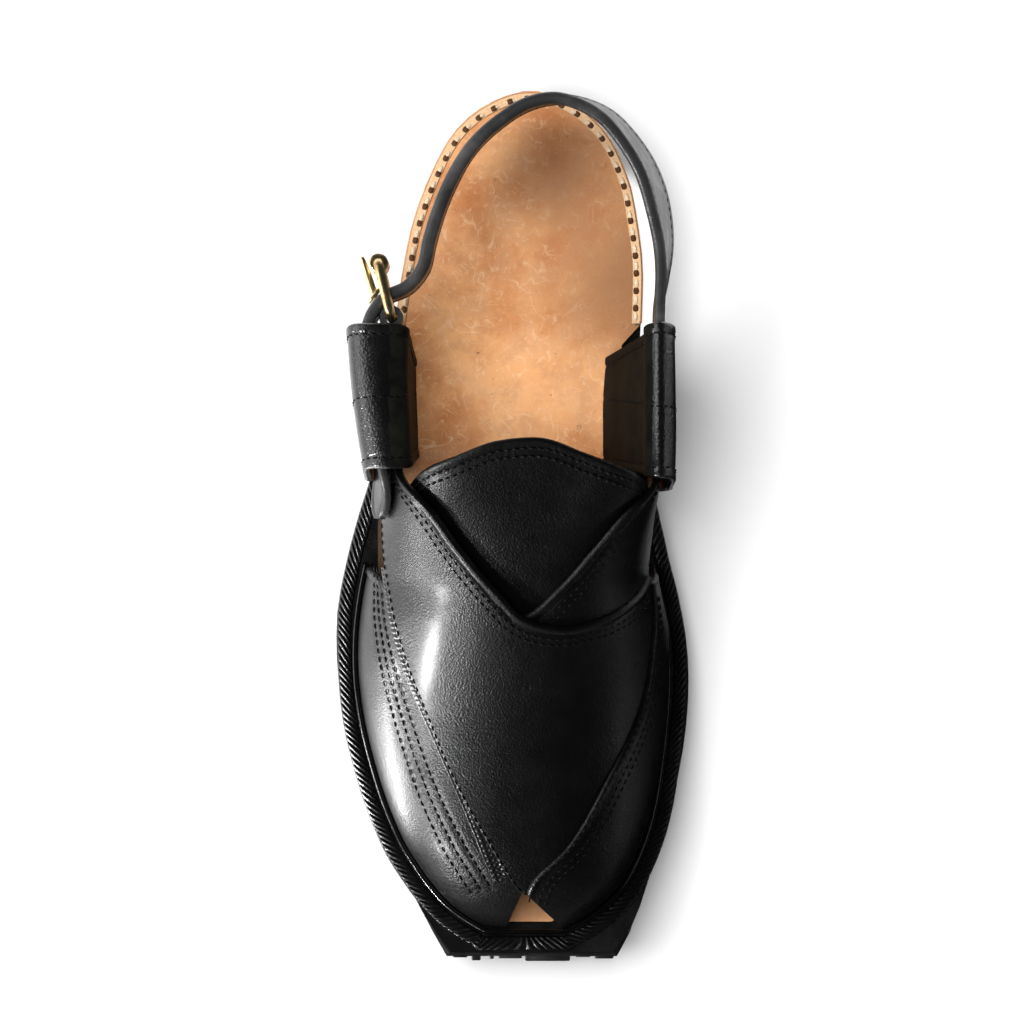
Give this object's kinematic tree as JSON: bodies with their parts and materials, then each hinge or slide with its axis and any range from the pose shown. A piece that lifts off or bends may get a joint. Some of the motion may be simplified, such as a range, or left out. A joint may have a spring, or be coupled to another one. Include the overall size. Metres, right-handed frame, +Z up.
{
  "type": "peshawari chappal",
  "caption": "Closed sandal with crossed leather straps, a peep toe, a loose tongue, side loops, a buckled heel strap and a heavy lugged rubber sole.",
  "frame": {"origin": "centre of the shoe's footprint box, on the floor it stands on", "axes": "-Y towards the toe, +Y towards the heel, -X the lateral side with the buckle, +X the medial side, +Z up"},
  "size_m": [0.1176, 0.2871, 0.103],
  "materials": {
    "black_leather": "polished black, glossy with a fine grain",
    "grained_leather": "black, pebbled and semi-matte",
    "tan_leather": "undyed tan, matte and worn",
    "black_rubber": "black, matte",
    "brass": "polished, lightly worn"
  },
  "bodies": {
    "root": {"outsole": "black_rubber", "heel_lift": "black_rubber", "heel_wedge": "grained_leather", "midsole": "black_leather", "insole": "tan_leather", "welt_bead": "black_leather", "welt_braid": "black_leather", "upper": "black_leather", "tongue": "black_leather", "quarter_loop_lateral": "black_leather", "quarter_loop_medial": "black_leather", "loop_tab": "black_leather", "heel_strap": "black_leather", "buckle_strap": "black_leather", "buckle_frame": "brass", "buckle_roller": "brass", "buckle_prong": "brass", "eyelet": "brass"}
  },
  "joints": []
}
